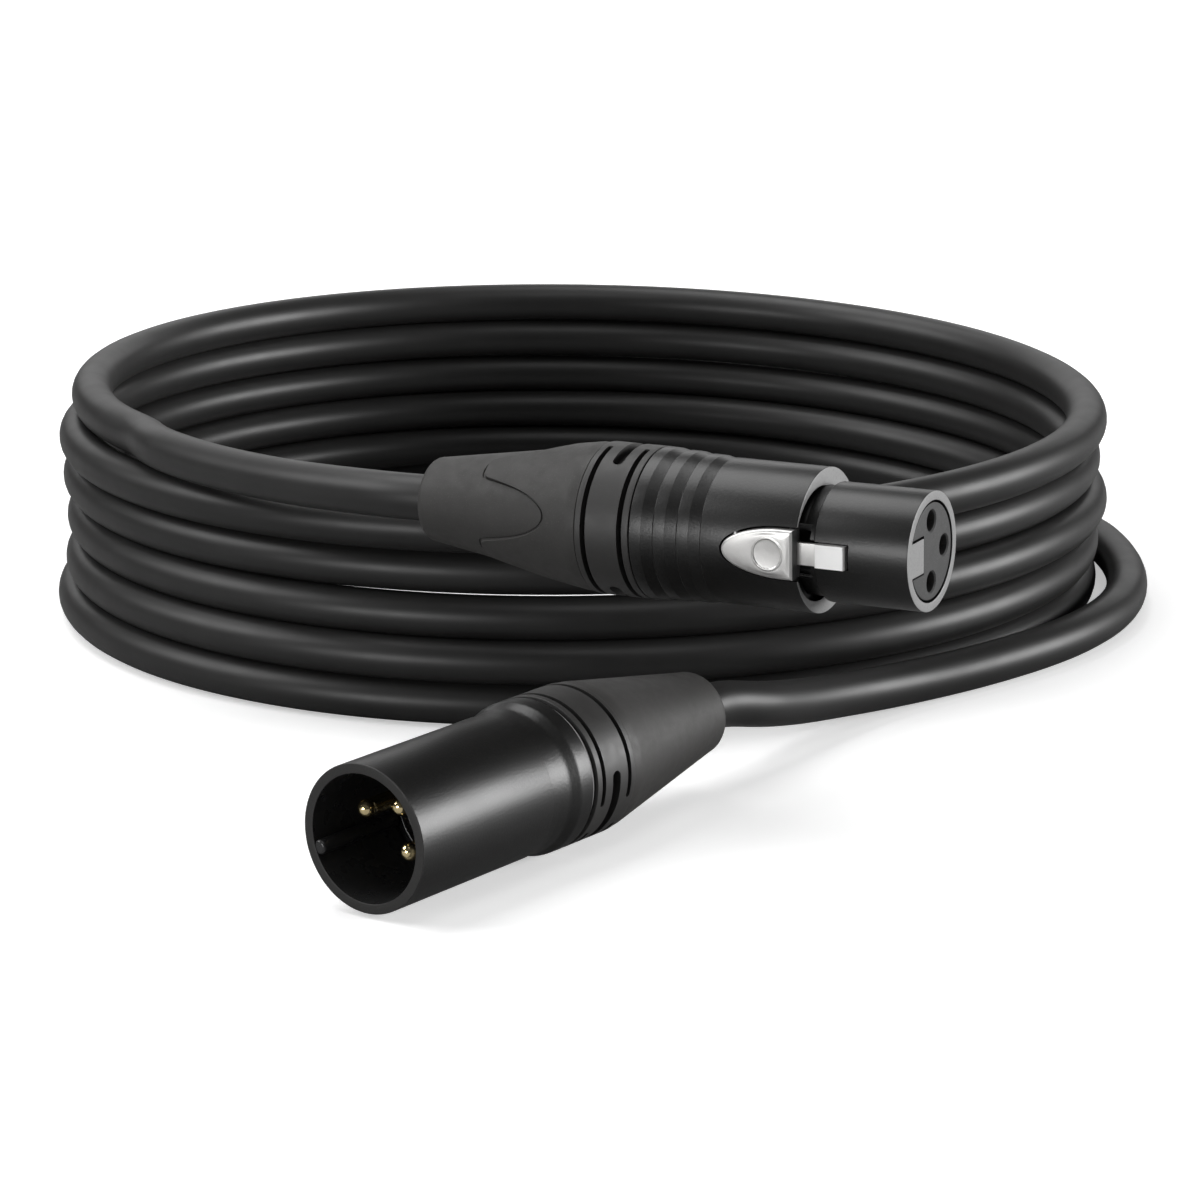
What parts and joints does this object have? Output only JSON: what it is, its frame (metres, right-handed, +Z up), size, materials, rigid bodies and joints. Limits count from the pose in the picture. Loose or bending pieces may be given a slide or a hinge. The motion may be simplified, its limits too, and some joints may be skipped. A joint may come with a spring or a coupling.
{
  "type": "microphone cable coil with a latching socket connector and a pin connector",
  "caption": "Microphone cable wound into a round coil, with a latching XLR-type socket connector and a pin connector on its ends.",
  "frame": {"origin": "middle of the ground under the whole object: the coil with both connectors in front of it", "axes": "+Z up, the coil's own axis; -Y from the coil towards the two connectors; +X to the right seen from that side"},
  "size_m": [0.1678, 0.2482, 0.0472],
  "materials": {
    "cable_jacket": "soft PVC, satin",
    "boot_rubber": "matte, finely grained",
    "gland_plastic": "satin moulding",
    "black_housing": "black coat on die-cast zinc, satin, fine speckle",
    "insert_grey": "satin moulding",
    "insert_black": "semi-gloss moulding",
    "latch_metal": "satin nickel",
    "spring_steel": "bright",
    "gold_plate": "gold plated, bright",
    "clamp_plastic": "plain moulding",
    "wire_red": "insulation",
    "wire_white": "insulation",
    "wire_bare": "bare tinned-copper braid"
  },
  "bodies": {
    "cable_assembly": {"cable_coil": "cable_jacket", "cable_lead_female": "cable_jacket", "cable_lead_male": "cable_jacket", "female_boot": "boot_rubber", "female_chuck": "clamp_plastic", "female_contact_1": "gold_plate", "female_contact_2": "gold_plate", "female_contact_3": "gold_plate", "female_gland": "gland_plastic", "female_housing": "black_housing", "female_insert": "insert_grey", "female_wire_1": "wire_red", "female_wire_2": "wire_bare", "female_wire_3": "wire_white", "latch_pin": "spring_steel", "latch_spring": "spring_steel", "male_boot": "boot_rubber", "male_chuck": "clamp_plastic", "male_gland": "gland_plastic", "male_ground_spring": "spring_steel", "male_housing": "black_housing", "male_insert": "insert_black", "male_pin_1": "gold_plate", "male_pin_2": "gold_plate", "male_pin_3": "gold_plate", "male_wire_1": "wire_red", "male_wire_2": "wire_bare", "male_wire_3": "wire_white"},
    "latch": {"latch_lever": "latch_metal"}
  },
  "joints": [
    {"name": "latch_press", "type": "hinge", "parent": "cable_assembly", "child": "latch", "pos_m": [0.01593, -0.08252, 0.0371], "axis": [0, 0, 1], "range_deg": [0, 4.5], "stiffness_Nm_per_rad": 0.1, "springref_deg": -5.73}
  ]
}
